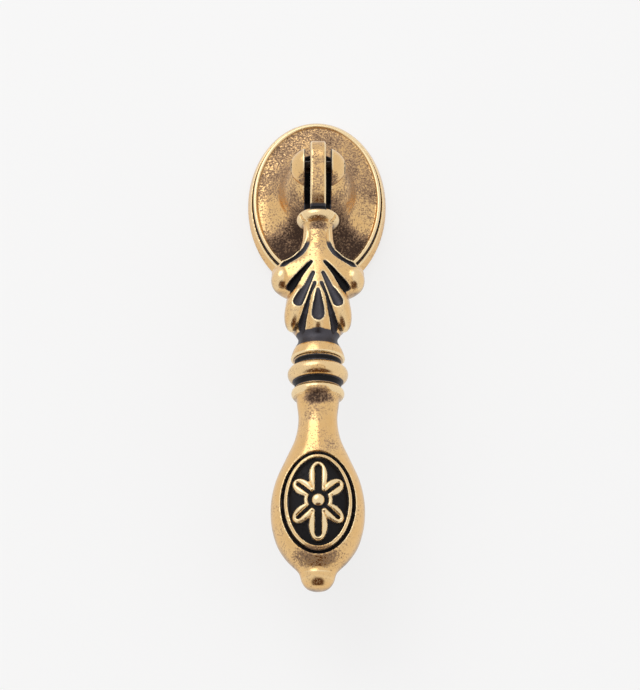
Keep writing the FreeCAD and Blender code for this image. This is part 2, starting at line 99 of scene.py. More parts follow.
# Levels of the two tiers of the leaf and of the vase: drop, half width and half depth
FAN = ((12.4, 2.5, 2.45), (14.2, 2.8, 2.75), (16.5, 3.15, 3.05), (18.4, 3.85, 3.4), (19.8, 4.95, 3.65),
       (20.8, 6.7, 3.85), (21.6, 8.2, 4.0), (23.4, 8.9, 4.3), (25.55, 8.47, 4.3), (27.06, 6.95, 4.08),
       (27.7, 5.12, 3.48))
CUP = ((20.08, 3.14, 3.1), (24.28, 4.91, 4.32), (27.64, 5.93, 4.94), (31.0, 6.2, 5.1), (33.6, 5.71, 4.83),
       (35.25, 4.34, 4.1), (36.3, 3.65, 3.63))
VASE = ((47.82, 4.18, 4.18), (49.7, 3.92, 3.92), (52.3, 3.66, 3.66), (56.33, 4.24, 4.21), (60.35, 5.95, 5.24),
        (64.74, 7.83, 6.24), (70.6, 8.74, 6.7), (74.82, 8.24, 6.42), (78.07, 7.02, 5.69), (80.24, 5.42, 4.5),
        (81.57, 4.09, 3.35), (82.1, 3.62, 3.12), (82.65, 3.34, 3.2), (83.16, 3.2, 3.17), (83.83, 3.01, 3.01),
        (84.57, 2.59, 2.59), (85.21, 1.95, 1.95), (85.63, 1.15, 1.15))

# Lobes of the leaf: drop and distance before the axis of the middle, half length, width and depth, and for a
# pair how far it stands aside and tilts
LOBES = ((24.3, 0.8, 2.7, 2.05, 2.7, 6.85, 10.0), (30.4, 1.8, 5.1, 2.25, 3.3, 3.9, 14.0),
         (31.2, 3.0, 5.3, 2.3, 2.9, 0.0, 0.0))
# Gouges of the leaf: distance aside, drop, distance before the axis and radius where each begins and ends
GOUGES = (((1.3, 21.7, 4.05, 0.3), (5.6, 27.3, 3.2, 1.0)), ((0.95, 24.2, 4.3, 0.32), (3.75, 30.3, 5.0, 1.0)),
          ((0.65, 26.4, 4.75, 0.3), (2.5, 32.7, 4.4, 0.55)), ((2.5, 32.7, 4.4, 0.55), (3.3, 35.6, 2.9, 0.75)),
          ((0.0, 27.8, 5.3, 0.25), (0.0, 33.0, 5.75, 1.33)))
# The lip along the top of the leaf follows a ring on each side: its middle aside and down, and its inner and
# outer radius; then how far before the axis it begins and ends, and where it stops above and at the side
LIP_MIDDLE = (8.3, 15.6)
LIP_RADII = (5.42, 7.0)
LIP_FRONTS = (-0.25, 2.25)
LIP_TOP = 16.8
LIP_SIDE = 7.9
# How deep the lip sinks into the leaf at its upper and outer ends, and where that begins
LIP_SINK = (0.7, 0.8)
LIP_SINK_START = (19.2, 6.7)
# Crescent gouges in the lip, and where they begin to narrow to their upper and outer ends
CRESCENT_RING = 6.4
CRESCENT_FRONT = 2.3
CRESCENT_RADIUS = 0.7
CRESCENT_UPPER_END = (18.5, 15.5)
CRESCENT_OUTER_END = (6.3, LIP_SIDE)

# The medallion on the front of the vase
MEDALLION_DROP = 70.1
MEDALLION_HALF = (6.9, 9.75)
MEDALLION_DEPTH = 0.75
BORDER_WIDTH = 0.62
BORDER_BEAD = 0.7
STUD_RADIUS = 1.15
HEART_RADIUS = 2.6
HEART_HOLLOW = 1.95
PETAL_RIM = 1.05
PETAL_TIP = 0.7
ROUND_RIM = 0.5
# How far the flower's rounds run on past their edges, and half the width of the slope at a groove's edge
ROUND_FOOT = 0.1
GROOVE_SLOPE = 0.12
# Petals: distance of the middle from the stud, half length, half width, and angle from upright
LONG_PETAL = (4.75, 2.85, 1.7)
SHORT_PETAL = (3.85, 2.05, 1.42)
PETALS = tuple(LONG_PETAL + (angle,) for angle in (0, 180))
PETALS += tuple(SHORT_PETAL + (angle,) for angle in (49, 131, 229, 311))

# Reach of the soft blend where two forms meet
BLEND = {"loft end": 0.4, "lip edge": 0.3, "leaf tiers": 0.3, "lobes": 0.35, "lip": 0.4, "leaf": 0.2,
         "gouges": 0.2, "tongue and shank": 0.8, "tongue": 0.15, "collar": 0.25, "ring floor": 0.1,
         "rings": 0.12, "vase": 0.2, "wall groove": 0.15, "rim band": 0.08, "rim bead": 0.12, "dome": 0.3,
         "knuckle": 0.25, "slot": 0.3}

# Finish of the drop, with painted shade under its collar, leaf and rings. A pair of values is where a zone is
# clear and where it is full.
# How black each gouge and the crescents are, how far from a gouge its black ends, and where the crescents
# are paler
GOUGE_BLACK = (1.0, 0.8, 0.95, 0.95, 0.8)
CRESCENT_BLACK = 0.8
GOUGE_EDGE = (0.14, 0.02)
GOUGE_PALE = (15.5, 17.5)
# Black in the medallion, by the share of its depth
SUNK_BLACK = (0.45, 0.8)
# Darkened bands round the drop, black patina with painted shade under the leaf and under the main ring: drop
# of the middle, half height and strength
PATINA_AND_SHADE_BANDS = ((36.9, 1.75, 0.9), (41.35, 0.75, 1.0), (45.6, 0.85, 1.0))
BAND_CORE = 0.6
# Painted shade, as black, at the foot of the tongue where it meets the collar: drop where it starts and ends
TONGUE_SHADE_START = (8.6, 9.8)
TONGUE_SHADE_END = (10.9, 10.6)
# Brown on the edge of the eye and tongue
TONGUE_BROWN = 0.55
TONGUE_BROWN_DROP = (10.5, 8.5)
TONGUE_BROWN_SIDE = (1.45, 0.9)
LEAST_BROWN = 0.16
# Brown patches on the front of the drop, those at drops 13.6 and 49.2 being painted shade under the collar
# and under the lowest ring: drop of the middle, half height, half width and strength
BROWN_AND_SHADE_PATCHES = ((13.6, 1.4, 2.6, 1.15), (16.5, 4.0, 3.0, 0.55), (44.0, 1.0, 2.5, 0.35),
                 (47.9, 0.9, 3.0, 0.7), (49.2, 2.0, 4.0, 1.6), (52.0, 5.0, 4.5, 0.35), (58.0, 5.0, 6.0, 0.5),
                 (80.2, 3.0, 7.5, 0.75))
PATCH_EDGE = (1.0, 0.3)
# Where brown keeps an edge from being worn bright
BROWN_EDGE = (0.4, 0.2)
# Unpolished back, by how much the surface faces the front
DROP_UNPOLISHED = (0.42, -0.1)

# Finish of the rose, with painted shade in its slot, under its ears and low in its dish, and a painted sheen
# across the dish
# Black groove: distance outside the rim on its inner and outer side, and how far it lies below the wall's top
GROOVE_INNER = (0.2, 0.32)
GROOVE_OUTER = (0.82, 0.66)
GROOVE_BELOW = (0.1, 0.3)
# Painted shade, as black, in the slot: how far past its sides, how far from the pin, and least height
SLOT_SHADE_SIDE = (0.3, 0.05)
SLOT_SHADE_REACH = (11.0, 10.0)
SLOT_SHADE_HEIGHT = 8.8
# Dark lower part of the dish, which reaches higher near the middle: brown patina with painted shade where the
# drop hangs in front of it
LOW_DARK = (-4.4, -9.4)
LOW_SIDE = (4.0, 10.0)
LOW_BEND = 3.0
# Painted sheen: a paler band across the middle of the dish, towards its sides
SHEEN_TOP = (1.5, -2.5)
SHEEN_SIDE = (4.0, 8.0)
# Brown in the dish, how much more it is low down with painted shade and less in the band of painted sheen,
# and on the back
DISH_BROWN = 0.82
LOW_BROWN = 0.75
SHEEN_BROWN = 0.42
BACK_BROWN = 0.3
BACK_HEIGHT = 1.0
DISH_EDGE = (-0.3, -0.5)
DISH_TOP = (16.0, 11.5)
# Painted shade, as brown, under the ears of the knuckle
EARS_SHADE = 0.9
EARS_SHADE_HEIGHT = (15.5, 16.5)
EARS_SHADE_UNDER = (-1.5, -3.2)
EARS_SHADE_SIDE = (4.6, 3.2)
ROSE_UNPOLISHED = (0.1, -0.2)

# Grid that the meshes are drawn from: spacing, points along a block's edge, and points worked out at a time
CELL = {"pendant": 0.224, "backplate": 0.21}
BLOCK = 6
CHUNK = 400000

# Colours of the metal
GOLD = ((0.76, 0.45, 0.17, 1), (0.88, 0.61, 0.3, 1))
UMBER = ((0.3, 0.17, 0.09, 1), (0.5, 0.33, 0.2, 1))
# Darkest bloom, also used for painted shade
DARK_BLOOM_AND_SHADE = (0.06, 0.032, 0.02, 1)
TARNISH = (0.24, 0.18, 0.15, 1)
WORN_GOLD = (0.93, 0.72, 0.42, 1)
GUNMETAL = (0.085, 0.08, 0.092, 1)
DEEP_BLACK = (0.005, 0.004, 0.005, 1)
# Painted shade: the pin is coloured dark for the shade it lies in
PIN_SHADE = ((0.01, 0.008, 0.007, 1), (0.05, 0.032, 0.02, 1))
PIN_END = (0.42, 0.27, 0.13, 1)

# The ground's own white, and the white it is seen as, with the share of that
PAPER = (0.94, 0.94, 0.94, 1)
SEEN_WHITE = (0.965, 0.965, 0.965, 1)
SEEN_SHARE = 0.7
GROUND_HALF = 0.6
GROUND_GAP = 0.0002

# The room: its colour, and its dark side with the way to its middle and the cosines of its soft edge
ROOM = (0.88, 0.88, 0.88, 1)
DARK_ROOM = (0.1, 0.045, 0.02, 1)
DARK_SIDE = (0.0, -0.42, -0.907)
DARK_EDGE = (0.74, 0.84)
# The lamp in metres and watts
LAMP_PLACE = (-0.4, -0.75, 0.65)
LAMP_AIM = (0, -0.01, -0.035)
LAMP_SIZE = 0.9
LAMP_POWER = 2.7

# Camera
AIM = Vector((0.4, -18.5, -37.36)) * MM
DISTANCE = 450 * MM
AZIMUTH = math.radians(-0.7)
ELEVATION = math.radians(-21.5)
FOCAL_PIXELS = 2368
IMAGE_HEIGHT = 690
SENSOR = 36.0


def smooth_min(first, second, reach):
    """The lower of two distances, blended where they are close."""
    share = np.clip(0.5 + 0.5 * (second - first) / reach, 0, 1)
    return second + (first - second) * share - reach * share * (1 - share)


def smooth_max(first, second, reach):
    """The higher of two distances, blended where they are close."""
    return -smooth_min(-first, -second, reach)


def step(low, high, value):
    """Rises smoothly from 0 to 1 between two values."""
    share = np.clip((value - low) / (high - low), 0, 1)
    return share * share * (3 - 2 * share)


def oval(across, along, half_across, half_along):
    """About how far a point lies outside an oval."""
    near = np.sqrt((across / half_across) ** 2 + (along / half_along) ** 2)
    pull = np.sqrt((across / half_across ** 2) ** 2 + (along / half_along ** 2) ** 2)
    return near * (near - 1) / np.maximum(pull, 1e-6)


def egg(x, y, z, halves):
    """About how far a point lies outside an egg form."""
    near = np.sqrt((x / halves[0]) ** 2 + (y / halves[1]) ** 2 + (z / halves[2]) ** 2)
    pull = np.sqrt((x / halves[0] ** 2) ** 2 + (y / halves[1] ** 2) ** 2 + (z / halves[2] ** 2) ** 2)
    return near * (near - 1) / np.maximum(pull, 1e-6)


def smooth_line(knots, values, places):
    """A smooth line through points."""
    slopes = np.gradient(values, knots)
    index = np.clip(np.searchsorted(knots, places) - 1, 0, len(knots) - 2)
    span = knots[index + 1] - knots[index]
    share = np.clip((places - knots[index]) / span, 0, 1)
    left = 1 - share
    start = (1 + 2 * share) * left ** 2 * values[index] + share * left ** 2 * span * slopes[index]
    end = share ** 2 * (1 + 2 * left) * values[index + 1] - share ** 2 * left * span * slopes[index + 1]
    return start + end


class Loft:
    """A smooth form through ovals at rising levels."""

    def __init__(self, levels):
        table = np.array(levels, float)
        self.levels = np.linspace(table[0, 0], table[-1, 0], 1500)
        self.width = smooth_line(table[:, 0], table[:, 1], self.levels)
        self.depth = smooth_line(table[:, 0], table[:, -1], self.levels)
        self.lean = np.gradient(self.width, self.levels)

    def distance(self, across, along, level):
        """About how far a point lies outside the form."""
        width = np.interp(level, self.levels, self.width)
        depth = np.interp(level, self.levels, self.depth)
        lean = np.interp(level, self.levels, self.lean)
        side = oval(across, along, width, depth) / np.sqrt(1 + lean ** 2)
        ends = np.maximum(self.levels[0] - level, level - self.levels[-1])
        return smooth_max(side, ends, BLEND["loft end"])


def leaf_form(x, y, drop, form):
    """Distance to a lobe, mirrored where it is one of a pair."""
    form_drop, front, length, width, depth, aside, tilt = form
    tilt = math.radians(tilt)
    across = np.abs(x) - aside
    up = form_drop - drop
    return egg(across * math.cos(tilt) + up * math.sin(tilt), y + front,
               up * math.cos(tilt) - across * math.sin(tilt), (width, depth, length))


def gouge_form(x, y, drop, start, end):
    """Distance to a gouge that widens from its start to its end, mirrored where it is one of a pair."""
    place = np.stack([np.abs(x), drop, -y], axis=-1) - np.array(start[:3])
    line = np.subtract(end[:3], start[:3])
    share = np.clip(place @ line / (line @ line), 0, 1)
    away = np.linalg.norm(place - share[:, None] * line, axis=-1)
    return away - start[3] - share * (end[3] - start[3])


def from_lip_middle(x, drop):
    """Distance from the middle of the ring that the leaf's lip follows."""
    return np.hypot(np.abs(x) - LIP_MIDDLE[0], drop - LIP_MIDDLE[1])


def lip_form(x, y, drop):
    """Distance to the lips along the top of the leaf, which sink into it at their ends."""
    aside = np.abs(x)
    band = np.abs(from_lip_middle(x, drop) - sum(LIP_RADII) / 2) - (LIP_RADII[1] - LIP_RADII[0]) / 2
    depth = np.abs(-y - sum(LIP_FRONTS) / 2) - (LIP_FRONTS[1] - LIP_FRONTS[0]) / 2
    sunk = LIP_SINK[0] * step(LIP_SINK_START[0], LIP_TOP + 0.3, drop)
    sunk = sunk + LIP_SINK[1] * step(LIP_SINK_START[1], LIP_SIDE, aside)
    lip = smooth_max(band, depth, BLEND["lip edge"]) + sunk
    return np.maximum(lip, np.maximum(LIP_TOP - drop, aside - LIP_SIDE))


def crescent_form(x, y, drop):
    """Distance to the crescent gouges, which fade out at their ends."""
    narrowing = 0.5 * step(*CRESCENT_UPPER_END, drop) + step(*CRESCENT_OUTER_END, np.abs(x))
    away = np.hypot(from_lip_middle(x, drop) - CRESCENT_RING, -y - CRESCENT_FRONT)
    return away - CRESCENT_RADIUS * (1 - narrowing)


def leaf_gouges(x, y, drop):
    """Distance to the nearest gouge of the leaf."""
    nearest = crescent_form(x, y, drop)
    for start, end in GOUGES:
        nearest = np.minimum(nearest, gouge_form(x, y, drop, start, end))
    return nearest


def gouge_black(x, y, drop):
    """How black the gouges leave the surface of the leaf."""
    black = CRESCENT_BLACK * step(*GOUGE_EDGE, crescent_form(x, y, drop))
    for (start, end), most in zip(GOUGES, GOUGE_BLACK):
        black = np.maximum(black, most * step(*GOUGE_EDGE, gouge_form(x, y, drop, start, end)))
    return black * step(*GOUGE_PALE, drop)


fan_loft = Loft(FAN)
cup_loft = Loft(CUP)
vase_loft = Loft(VASE)
core_loft = Loft(CORE)


def leaf_uncarved(x, y, drop):
    """The leaf before its gouges are cut."""
    leaf = smooth_min(fan_loft.distance(x, y, drop), cup_loft.distance(x, y, drop), BLEND["leaf tiers"])
    for lobe in LOBES:
        leaf = smooth_min(leaf, leaf_form(x, y, drop, lobe), BLEND["lobes"])
    return smooth_min(leaf, lip_form(x, y, drop), BLEND["lip"])


def medallion_sink(x, y, drop):
    """Share of the medallion's depth that the front of the vase is sunk by."""
    along = MEDALLION_DROP - drop
    border = oval(x, along, *MEDALLION_HALF)
    groove = step(-GROOVE_SLOPE, GROOVE_SLOPE, np.minimum(-border, border + BORDER_WIDTH))
    field = step(-GROOVE_SLOPE, GROOVE_SLOPE, -border - BORDER_WIDTH - BORDER_BEAD)
    from_stud = np.hypot(x, along)
    petals = from_stud - HEART_RADIUS
    hollows = from_stud - HEART_HOLLOW
    for middle, length, width, angle in PETALS:
        angle = math.radians(angle)
        out = along * math.cos(angle) + x * math.sin(angle)
        aside = x * math.cos(angle) - along * math.sin(angle)
        petals = np.minimum(petals, oval(aside, out - middle, width, length))
        hollow = width - PETAL_RIM
        reach = middle + length - PETAL_TIP - hollow
        hollows = np.minimum(hollows, np.hypot(aside, out - np.clip(out, 0, reach)) - hollow)
    rim = np.maximum(np.maximum(petals, -hollows) + ROUND_RIM, 0)
    rise = np.sqrt(np.clip(1 - (rim / (ROUND_RIM + ROUND_FOOT)) ** 2, 0, 1))
    stud = np.sqrt(np.clip(1 - (from_stud / (STUD_RADIUS + ROUND_FOOT)) ** 2, 0, 1))
    return np.maximum(groove, field * (1 - np.maximum(rise, stud))) * (y < 0)


def tongue_distance(x, y, drop):
    """Distance to the eye with its tongue and shank, which are flat with rounded edges, and its bore."""
    down = np.clip(drop, 0, TONGUE_DROP)
    eye = np.hypot(y, drop - down) - EYE_RADIUS + (EYE_RADIUS - TONGUE_HALF_DEPTH) * down / TONGUE_DROP
    shank = np.maximum(np.abs(y) - SHANK_HALF_DEPTH, np.maximum(-drop, drop - COLLAR_DROP))
    flat = smooth_min(eye, shank, BLEND["tongue and shank"]) + EYE_ROUNDING
    side = np.abs(x) - EYE_HALF_THICKNESS + EYE_ROUNDING
    tongue = np.minimum(np.maximum(flat, side), 0) - EYE_ROUNDING
    tongue = tongue + np.hypot(np.maximum(flat, 0), np.maximum(side, 0))
    return np.maximum(tongue, EYE_BORE - np.hypot(y, drop))


def turned_distance(x, y, drop):
    """Distance to the collar, the turned core and the rings below the leaf."""
    radius = np.hypot(x, y)
    turned = np.hypot(radius - COLLAR_MIDDLE, drop - COLLAR_DROP) - COLLAR_TUBE
    turned = smooth_min(turned, core_loft.distance(x, y, drop), BLEND["collar"])
    floor_middle = sum(RING_FLOOR_SPAN) / 2
    floor_half = RING_FLOOR_SPAN[1] - floor_middle
    floor = np.maximum(radius - RING_FLOOR, np.abs(drop - floor_middle) - floor_half)
    turned = smooth_min(turned, floor, BLEND["ring floor"])
    for ring_drop, middle, tube in RINGS:
        turned = smooth_min(turned, np.hypot(radius - middle, drop - ring_drop) - tube, BLEND["rings"])
    return turned


def pendant_distance(points):
    """Distance to the drop."""
    x, y, z = points.T
    y = y + PIN_STANDOFF
    drop = -z
    body = smooth_min(turned_distance(x, y, drop), tongue_distance(x, y, drop), BLEND["tongue"])
    body = smooth_min(body, leaf_uncarved(x, y, drop), BLEND["leaf"])
    body = smooth_max(body, -leaf_gouges(x, y, drop), BLEND["gouges"])
    vase = vase_loft.distance(x, y, drop) + MEDALLION_DEPTH * medallion_sink(x, y, drop)
    return smooth_min(body, vase, BLEND["vase"])


def pendant_finish_and_shade(points, facing):
    """How black, how brown and how little polished the drop's surface is, with painted shade in the black and
    brown under the collar, leaf and rings.
    """
    x, y, z = points.T
    y = y + PIN_STANDOFF
    drop = -z
    black = gouge_black(x, y, drop)
    black = np.maximum(black, step(*SUNK_BLACK, medallion_sink(x, y, drop)))
    # Black patina in the neck and groove, with painted shade under the leaf and under the main ring
    for middle, half, most in PATINA_AND_SHADE_BANDS:
        black = np.maximum(black, most * step(half, BAND_CORE * half, np.abs(drop - middle)))
    # Painted shade at the foot of the tongue, just above the collar
    on_tongue = np.abs(x) < EYE_HALF_THICKNESS + 0.1
    black = np.maximum(black, step(*TONGUE_SHADE_START, drop) * step(*TONGUE_SHADE_END, drop) * on_tongue)
    brown = TONGUE_BROWN * step(*TONGUE_BROWN_DROP, drop) * step(*TONGUE_BROWN_SIDE, np.abs(x))
    brown = np.maximum(brown, LEAST_BROWN)
    # Brown bloom, with painted shade under the collar and under the lowest ring
    for middle, half, across, most in BROWN_AND_SHADE_PATCHES:
        patch = np.hypot(x / across, (drop - middle) / half)
        brown = np.maximum(brown, most * step(*PATCH_EDGE, patch) * (y < 0))
    return black, brown, step(*DROP_UNPOLISHED, facing)


def dome_levels():
    """Levels of the dome, which runs out into the dish at its foot: height, half width and half length."""
    rise = DOME_TOP - DOME_FOOT
    spans = [half - BEAD_RADIUS - DOME_RADIUS for half in RIM_HALF]
    flared = [(DOME_FOOT + share * rise, *(DOME_RADIUS + spread * span for span in spans))
              for share, spread in DISH_STATIONS]
    round_part = [(DOME_FOOT + share * rise, spread * DOME_RADIUS, spread * DOME_RADIUS)
                  for share, spread in DOME_STATIONS]
    return flared + round_part


dome_loft = Loft(dome_levels())
wall_top = [half + GROOVE_EDGE + WALL_CREST for half in RIM_HALF]
wall_loft = Loft(((0.0, *PLATE_HALF), (WALL_HEIGHT, *wall_top)))


def backplate_distance(points):
    """Distance to the rose."""
    x, y, z = points.T
    height = -y
    rim = oval(x, z, *RIM_HALF)
    wall = wall_loft.distance(x, z, height)
    groove = np.maximum(rim - GROOVE_EDGE, GROOVE_FLOOR - height)
    wall = smooth_max(wall, -groove, BLEND["wall groove"])
    band = np.maximum(rim - RIM_COVER, np.maximum(height - BEAD_HEIGHT, -height))
    dish = np.maximum(rim + RIM_COVER, DISH_FLOOR - height)
    plate = smooth_min(wall, np.maximum(band, -dish), BLEND["rim band"])
    bead = np.hypot(rim, height - BEAD_HEIGHT) - BEAD_RADIUS
    plate = smooth_min(plate, bead, BLEND["rim bead"])
    rose = smooth_min(plate, dome_loft.distance(x, z, height), BLEND["dome"])
    rose = smooth_min(rose, egg(x, y + PIN_STANDOFF, z, KNUCKLE), BLEND["knuckle"])
    from_pin = np.hypot(height - PIN_STANDOFF, z)
    open_front = np.maximum(PIN_STANDOFF - height, np.abs(z) - SLOT_HALF_LENGTH)
    slot = np.maximum(np.minimum(from_pin - SLOT_REACH, open_front), np.abs(x) - SLOT_HALF)
    rose = smooth_max(rose, -slot, BLEND["slot"])
    rose = np.maximum(rose, PIN_HOLE_RADIUS - from_pin)
    screw_hole = np.maximum(np.hypot(x, z) - THREAD_ROOT, height - SCREW_HOLE_DEPTH)
    return np.maximum(rose, -screw_hole)


def backplate_finish_and_light(points, facing):
    """How black, how brown and how little polished the rose's surface is, with painted shade in the slot,
    under the ears and low in the dish, and a painted sheen as less brown.
    """
    x, y, z = points.T
    height = -y
    rim = oval(x, z, *RIM_HALF)
    aside = np.abs(x)
    in_groove = step(*GROOVE_INNER, rim) * step(*GROOVE_OUTER, rim)
    in_groove = in_groove * step(*GROOVE_BELOW, WALL_HEIGHT - height) * (height > 0.5 * WALL_HEIGHT)
    from_pin = np.hypot(height - PIN_STANDOFF, z)
    # Painted shade on the slot's floor and walls
    slot_shade = step(*SLOT_SHADE_SIDE, aside - SLOT_HALF) * step(*SLOT_SHADE_REACH, from_pin)
    slot_shade = slot_shade * (height > SLOT_SHADE_HEIGHT)
    # Darker lower dish: brown patina with painted shade below the hanging drop
    low = step(*LOW_DARK, z + LOW_BEND * (step(*LOW_SIDE, aside) - 0.5))
    # Painted sheen, as less brown, across the middle of the dish at its sides
    sheen = step(*SHEEN_TOP, z) * (1 - low) * step(*SHEEN_SIDE, aside)
    dish = step(*DISH_EDGE, rim) * step(*DISH_TOP, height)
    brown = dish * (DISH_BROWN + LOW_BROWN * low - SHEEN_BROWN * sheen)
    brown = np.where(height > BACK_HEIGHT, brown, BACK_BROWN)
    # Painted shade under the ears
    ear_shade = step(*EARS_SHADE_HEIGHT, height) * step(*EARS_SHADE_UNDER, z) * step(*EARS_SHADE_SIDE, aside)
    brown = np.maximum(brown, EARS_SHADE * ear_shade)
    return np.maximum(in_groove, slot_shade), brown, 0.5 * step(*ROSE_UNPOLISHED, facing)


def near_field(distance, low, counts, cell):
    """The distance field on a grid, worked out closely only near the surface."""
    blocks = counts // BLOCK
    places = np.indices(blocks).reshape(3, -1).T
    coarse = distance(low + (places * BLOCK + (BLOCK - 1) / 2) * cell)
    field = np.repeat(coarse[:, None], BLOCK ** 3, axis=1)
    inner = np.indices((BLOCK,) * 3).reshape(3, -1).T
    near = np.flatnonzero(np.abs(coarse) < 1.6 * BLOCK * cell)
    batch = max(1, CHUNK // BLOCK ** 3)
    for start in range(0, len(near), batch):
        chosen = near[start:start + batch]
        points = (places[chosen][:, None, :] * BLOCK + inner[None]).reshape(-1, 3) * cell + low
        field[chosen] = distance(points).reshape(len(chosen), -1)
    field = field.reshape(*blocks, BLOCK, BLOCK, BLOCK)
    return field.transpose(0, 3, 1, 4, 2, 5).reshape(counts)


def wrap_surface(distance, low, high, cell):
    """Vertices and quads of the surface where a distance field is zero."""
    counts = (np.ceil((high - low) / cell / BLOCK) * BLOCK).astype(int)
    field = near_field(distance, low, counts, cell)
    inside = field < 0
    corner_steps = np.indices((2, 2, 2)).reshape(3, -1).T
    trimmed = counts - 1
    filled = np.zeros(trimmed, np.int8)
    for offset in corner_steps:
        filled += inside[tuple(slice(o, o + n) for o, n in zip(offset, trimmed))]
    cells = np.argwhere((filled > 0) & (filled < 8))
    corners = np.stack([field[tuple((cells + offset).T)] for offset in corner_steps], axis=1)
    total = np.zeros((len(cells), 3))
    crossings = np.zeros(len(cells))
    for first in range(8):
        for second in range(first + 1, 8):
            if np.abs(corner_steps[first] - corner_steps[second]).sum() != 1:
                continue
            start, end = corners[:, first], corners[:, second]
            crossed = (start < 0) != (end < 0)
            share = np.where(crossed, start / np.where(crossed, start - end, 1), 0)
            place = corner_steps[first] + share[:, None] * (corner_steps[second] - corner_steps[first])
            total += np.where(crossed[:, None], place, 0)
            crossings += crossed
    vertices = (cells + total / crossings[:, None]) * cell + low
    number = np.full(trimmed, -1, np.int64)
    number[tuple(cells.T)] = np.arange(len(cells))
    quads = []
    for axis in range(3):
        ahead = np.roll(inside, -1, axis)
        edges = np.argwhere(inside != ahead)
        others = [(axis + 1) % 3, (axis + 2) % 3]
        edges = edges[(edges[:, axis] < trimmed[axis]) & (edges[:, others] > 0).all(1)]
        side, other = np.eye(3, dtype=int)[others]
        around = ((0, 0), (1, 0), (1, 1), (0, 1))
        ring = np.stack([number[tuple((edges - a * side - b * other).T)] for a, b in around], axis=1)
        outward = inside[tuple(edges.T)]
        quads.append(np.where(outward[:, None], ring, ring[:, ::-1]))
    return vertices, np.concatenate(quads)


def settle(distance, vertices, reach):
    """Moves vertices onto the surface, and gives how sharply it bends out and how much it faces the front."""
    for turn in range(3):
        here = distance(vertices)
        slope = np.empty_like(vertices)
        around = np.zeros(len(vertices))
        for axis in range(3):
            shift = np.zeros(3)
            shift[axis] = reach
            ahead = distance(vertices + shift)
            behind = distance(vertices - shift)
            slope[:, axis] = (ahead - behind) / (2 * reach)
            around += ahead + behind - 2 * here
        steepness = np.maximum((slope ** 2).sum(1), 0.05)
        vertices = vertices - np.clip(here / steepness, -reach, reach)[:, None] * slope
    return vertices, around / reach ** 2, -slope[:, 1] / np.sqrt(steepness)


def build_piece(name, distance, finish_and_light, material):
    """Makes the mesh of a piece with its finish and painted light, in place of the solid of that name."""
    low, high = (np.array(corner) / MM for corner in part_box(name))
    cell = CELL[name]
    margin = 3 * cell
    vertices, quads = wrap_surface(distance, low - margin, high + margin, cell)
    vertices, bend, facing = settle(distance, vertices, 0.6 * cell)
    mesh = bpy.data.meshes.new(f"{name}_surface")
    mesh.from_pydata((vertices * MM).tolist(), [], quads.tolist())
    mesh.polygons.foreach_set("use_smooth", np.ones(len(mesh.polygons), bool))
    black, brown, unpolished = finish_and_light(vertices, facing)
    edges = np.clip(0.5 + 0.25 * bend, 0, 1) * step(*BROWN_EDGE, brown)
    colours = np.stack([black, brown, edges, unpolished], axis=1)
    layer = mesh.color_attributes.new("finish_and_light", "FLOAT_COLOR", "POINT")
    layer.data.foreach_set("color", colours.astype(np.float32).ravel())
    mesh.materials.append(material)
    piece = bpy.data.objects.new(f"{name}_surface", mesh)
    bpy.context.scene.collection.objects.link(piece)
    return piece


def build_thread(material):
    """Makes the thread of the screw hole: a ridge wound along its wall."""
    steps = np.arange(THREAD_TURNS * STEPS_IN_TURN + 1)
    angle = steps * 2 * math.pi / STEPS_IN_TURN
    depth = THREAD_START + THREAD_PITCH * steps / STEPS_IN_TURN
    lines = [np.stack([radius * np.cos(angle), -depth - along, radius * np.sin(angle)], axis=1)
             for radius, along in THREAD_SECTION]
    vertices = np.stack(lines, axis=1).reshape(-1, 3)
    sides = [(0, 1), (1, 2), (2, 3), (3, 0)]
    faces = [(4 * place + a, 4 * place + b, 4 * place + b + 4, 4 * place + a + 4)
             for place in steps[:-1].tolist() for a, b in sides]
    faces += [(3, 2, 1, 0), tuple(range(len(vertices) - 4, len(vertices)))]
    mesh = bpy.data.meshes.new("screw_thread")
    mesh.from_pydata((vertices * MM).tolist(), [], faces)
    mesh.materials.append(material)
    thread = bpy.data.objects.new("screw_thread", mesh)
    bpy.context.scene.collection.objects.link(thread)
    return thread


def mix_colours(tree, share, first, second):
    """A blend of two colours, each a socket or a plain colour."""
    made = tree.nodes.new("ShaderNodeMix")
    made.data_type = "RGBA"
    for index, source in ((0, share), (6, first), (7, second)):
        if isinstance(source, bpy.types.NodeSocket):
            tree.links.new(source, made.inputs[index])
        else:
            made.inputs[index].default_value = source
    return made.outputs[2]


def math_node(tree, operation, first, second=0.0, clamp=False):
    """Arithmetic on two numbers, each a socket or a plain number."""
    made = tree.nodes.new("ShaderNodeMath")
    made.operation = operation
    made.use_clamp = clamp
    for index, source in enumerate((first, second)):
        if isinstance(source, bpy.types.NodeSocket):
            tree.links.new(source, made.inputs[index])
        else:
            made.inputs[index].default_value = source
    return made.outputs[0]


def rising(tree, source, low, high):
    """Rises smoothly from 0 to 1 between two values of a socket."""
    made = tree.nodes.new("ShaderNodeMapRange")
    made.interpolation_type = "SMOOTHSTEP"
    tree.links.new(source, made.inputs[0])
    made.inputs[1].default_value = low
    made.inputs[2].default_value = high
    return made.outputs[0]


def noise(tree, place, size, detail=2.0, roughness=0.55):
    """Noise with grains of a size in millimetres."""
    made = tree.nodes.new("ShaderNodeTexNoise")
    made.inputs["Scale"].default_value = 1 / (size * MM)
    made.inputs["Detail"].default_value = detail
    made.inputs["Roughness"].default_value = roughness
    tree.links.new(place, made.inputs["Vector"])
    return made.outputs["Fac"]


def new_material(name):
    """An empty material with one shader, its tree and the place of a point on the piece."""
    material = bpy.data.materials.new(name)
    material.use_nodes = True
    tree = material.node_tree
    tree.nodes.clear()
    output = tree.nodes.new("ShaderNodeOutputMaterial")
    shader = tree.nodes.new("ShaderNodeBsdfPrincipled")
    tree.links.new(shader.outputs[0], output.inputs[0])
    place = tree.nodes.new("ShaderNodeTexCoord").outputs["Object"]
    return material, tree, shader, place


